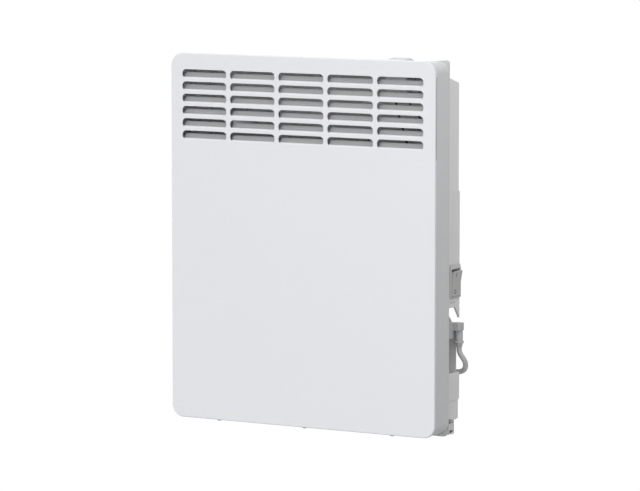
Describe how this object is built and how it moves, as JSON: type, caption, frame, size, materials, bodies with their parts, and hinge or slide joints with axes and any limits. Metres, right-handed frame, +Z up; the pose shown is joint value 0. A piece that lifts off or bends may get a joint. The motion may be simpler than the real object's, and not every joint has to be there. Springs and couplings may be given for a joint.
{
  "type": "wall panel convector heater",
  "caption": "Louvred wall panel convector heater with a side mains switch, a thermostat dial in its top edge, a coiled lead and a hook-on wall bracket.",
  "frame": {"origin": "middle of the wall bracket's top rail, on its face against the wall", "axes": "+Z up, +Y into the wall, +X to the right for someone who faces the heater, whose front faces -Y"},
  "size_m": [0.3719, 0.098, 0.4534],
  "materials": {
    "front_enamel": "satin off-white powder coat",
    "casing_enamel": "satin off-white powder coat",
    "galvanised": "dull zinc-coated sheet",
    "aluminium": "plain cast aluminium",
    "steel": "bright zinc-plated steel",
    "white_plastic": "fine satin",
    "grey_plastic": "fine satin",
    "dark_plastic": "satin",
    "ceramic": null,
    "lead_sheath": "soft satin sheath",
    "wire_sheath": "satin sheath",
    "earth_sheath": "satin sheath"
  },
  "bodies": {
    "wall_bracket": {"bracket_top_rail": "galvanised", "bracket_lower_rail": "galvanised", "bracket_upright_left": "galvanised", "bracket_upright_right": "galvanised"},
    "heater": {"front_panel": "front_enamel", "casing_wrap": "casing_enamel", "back_plate": "casing_enamel", "rear_housing": "casing_enamel", "bottom_skirt": "casing_enamel", "cord_pocket": "casing_enamel", "heat_shield": "galvanised", "cutout_strap": "galvanised", "element_bracket_left": "galvanised", "element_bracket_right": "galvanised", "heating_element": "aluminium", "sensor_capillary": "steel", "terminal_pin_left": "steel", "terminal_pin_right": "steel", "casing_screw_1": "steel", "casing_screw_2": "steel", "casing_screw_3": "steel", "back_plate_screw_1": "steel", "back_plate_screw_2": "steel", "back_plate_screw_3": "steel", "back_plate_screw_4": "steel", "back_plate_screw_5": "steel", "back_plate_screw_6": "steel", "service_cover": "white_plastic", "dial_bezel": "white_plastic", "switch_housing": "white_plastic", "terminal_block": "white_plastic", "thermostat_body": "grey_plastic", "cord_grip": "grey_plastic", "thermal_cutout": "dark_plastic", "cord_tie": "dark_plastic", "ceramic_insulator_left": "ceramic", "ceramic_insulator_right": "ceramic", "strain_relief": "lead_sheath", "mains_lead_run": "lead_sheath", "mains_lead_coil": "lead_sheath", "mains_lead_tail": "lead_sheath", "lead_cores": "wire_sheath", "wire_terminal_to_switch": "wire_sheath", "wire_switch_to_thermostat": "wire_sheath", "wire_thermostat_to_cutout": "wire_sheath", "wire_cutout_to_element": "wire_sheath", "wire_element_to_terminal": "wire_sheath", "earth_wire": "earth_sheath"},
    "rocker": {"power_rocker": "grey_plastic"},
    "dial": {"thermostat_dial": "white_plastic", "dial_shaft": "steel"}
  },
  "joints": [
    {"name": "lift_off", "type": "slide", "parent": "wall_bracket", "child": "heater", "axis": [0, 0, 1], "range_m": [0, 0.012]},
    {"name": "switch_rock", "type": "hinge", "parent": "heater", "child": "rocker", "pos_m": [0.1705, -0.034, -0.174], "axis": [0, -1, 0], "range_deg": [0, 10]},
    {"name": "dial_turn", "type": "hinge", "parent": "heater", "child": "dial", "pos_m": [0.1255, -0.077, 0.09], "axis": [0, 0, -1], "range_deg": [0, 270]}
  ]
}
